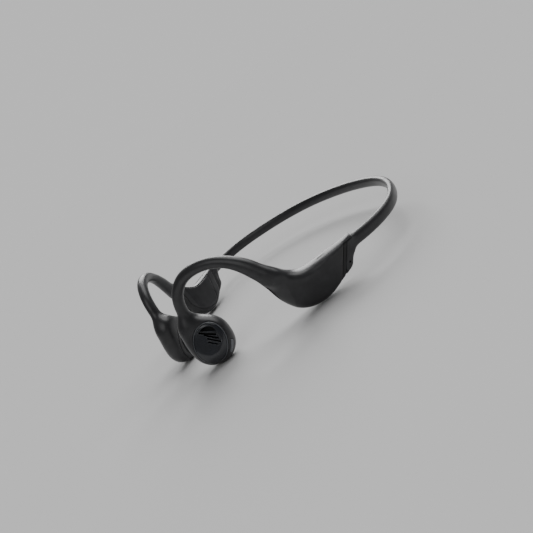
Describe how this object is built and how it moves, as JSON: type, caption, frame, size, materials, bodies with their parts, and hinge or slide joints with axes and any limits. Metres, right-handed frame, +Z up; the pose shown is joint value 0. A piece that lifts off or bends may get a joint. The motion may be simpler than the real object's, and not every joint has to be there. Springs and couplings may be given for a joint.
{
  "type": "bone conduction headphones",
  "caption": "Open-ear headphones with a springy rear neckband, behind-ear pods, over-ear hooks and vibrating cheek pads with louvred outer faces.",
  "frame": {"origin": "centre of the footprint on the surface that the pods and earpieces rest on", "axes": "+Z up, -Y the wearer's front, +X the wearer's left; mirror plane x = 0"},
  "size_m": [0.1586, 0.1371, 0.0479],
  "materials": {
    "silicone_skin": "soft matte silicone",
    "soft_touch_shell": "soft-touch coated nylon",
    "dark_rubber": "matte elastomer",
    "gloss_face": "polished blue-black polycarbonate",
    "satin_trim": "satin",
    "steel_mesh": "fine woven mesh, blackened",
    "spring_wire": "drawn nickel-titanium wire and spring steel",
    "cable_jacket": "elastomer jacket",
    "bracket_plastic": "glass-filled nylon",
    "copper": "enamelled copper",
    "plated_steel": "nickel-plated steel",
    "magnet": "nickel-plated neodymium",
    "cell_pouch": "laminated pouch",
    "circuit_board": "solder mask",
    "shield_can": "tinned can",
    "gold_contact": "gold-plated",
    "light_pipe": "diffusing",
    "key_rubber": "matte elastomer"
  },
  "bodies": {
    "neckband": {"rear_band_sleeve": "silicone_skin", "rear_band_wire": "spring_wire", "rear_band_cable": "cable_jacket"},
    "left_arm": {"left_band_sleeve": "silicone_skin", "left_band_wire": "spring_wire", "left_band_cable": "cable_jacket", "left_hook_sleeve": "silicone_skin", "left_hook_wire": "spring_wire", "left_hook_cable": "cable_jacket", "left_pod_seal": "dark_rubber", "left_pod_outer_shell": "soft_touch_shell", "left_pod_inner_shell": "soft_touch_shell", "left_pod_gasket": "dark_rubber", "left_band_boot": "dark_rubber", "left_earpiece_outer_shell": "soft_touch_shell", "left_earpiece_inner_shell": "soft_touch_shell", "left_face_trim": "satin_trim", "left_face_panel": "gloss_face", "left_vent_mesh": "steel_mesh", "left_contact_pad": "silicone_skin", "left_transducer_bracket": "bracket_plastic", "left_voice_coil": "copper", "left_flexure_plate": "spring_wire", "battery_cell": "cell_pouch", "battery_protection_board": "circuit_board", "microphone": "shield_can", "multifunction_switch": "bracket_plastic"},
    "right_arm": {"right_band_sleeve": "silicone_skin", "right_band_wire": "spring_wire", "right_band_cable": "cable_jacket", "right_hook_sleeve": "silicone_skin", "right_hook_wire": "spring_wire", "right_hook_cable": "cable_jacket", "right_pod_seal": "dark_rubber", "right_pod_outer_shell": "soft_touch_shell", "right_pod_inner_shell": "soft_touch_shell", "right_pod_gasket": "dark_rubber", "right_band_boot": "dark_rubber", "right_earpiece_outer_shell": "soft_touch_shell", "right_earpiece_inner_shell": "soft_touch_shell", "right_face_trim": "satin_trim", "right_face_panel": "gloss_face", "right_vent_mesh": "steel_mesh", "right_contact_pad": "silicone_skin", "right_transducer_bracket": "bracket_plastic", "right_voice_coil": "copper", "right_flexure_plate": "spring_wire", "main_board": "circuit_board", "bluetooth_module": "shield_can", "charging_contacts": "gold_contact", "charging_magnets": "magnet", "status_light_pipe": "light_pipe", "volume_key_switches": "bracket_plastic"},
    "left_driver": {"left_driver_yoke": "plated_steel", "left_driver_magnet": "magnet"},
    "right_driver": {"right_driver_yoke": "plated_steel", "right_driver_magnet": "magnet"},
    "multifunction_key": {"multifunction_key": "satin_trim"},
    "volume_up_key": {"volume_up_key": "key_rubber"},
    "volume_down_key": {"volume_down_key": "key_rubber"}
  },
  "joints": [
    {"name": "left_arm_flex", "type": "hinge", "parent": "neckband", "child": "left_arm", "pos_m": [0.0551, 0.05387, 0.0151], "axis": [0, 0, 1], "range_deg": [-3, 28], "stiffness_Nm_per_rad": 0.25},
    {"name": "right_arm_flex", "type": "hinge", "parent": "neckband", "child": "right_arm", "pos_m": [-0.0551, 0.05387, 0.0151], "axis": [0, 0, -1], "range_deg": [-3, 28], "stiffness_Nm_per_rad": 0.25},
    {"name": "left_driver_stroke", "type": "slide", "parent": "left_arm", "child": "left_driver", "axis": [0.7995, -0.5698, 0.1901], "range_m": [-0.0003, 0.0003], "stiffness_N_per_m": 400},
    {"name": "right_driver_stroke", "type": "slide", "parent": "right_arm", "child": "right_driver", "axis": [-0.7995, -0.5698, 0.1901], "range_m": [-0.0003, 0.0003], "stiffness_N_per_m": 400},
    {"name": "multifunction_press", "type": "slide", "parent": "left_arm", "child": "multifunction_key", "axis": [-0.9521, -0.0149, 0.3054], "range_m": [0, 0.0004], "stiffness_N_per_m": 3500},
    {"name": "volume_up_press", "type": "slide", "parent": "right_arm", "child": "volume_up_key", "axis": [-0.4899, 0.8021, 0.3414], "range_m": [0, 0.0004], "stiffness_N_per_m": 3500},
    {"name": "volume_down_press", "type": "slide", "parent": "right_arm", "child": "volume_down_key", "axis": [-0.4783, 0.6902, 0.543], "range_m": [0, 0.0004], "stiffness_N_per_m": 3500}
  ]
}
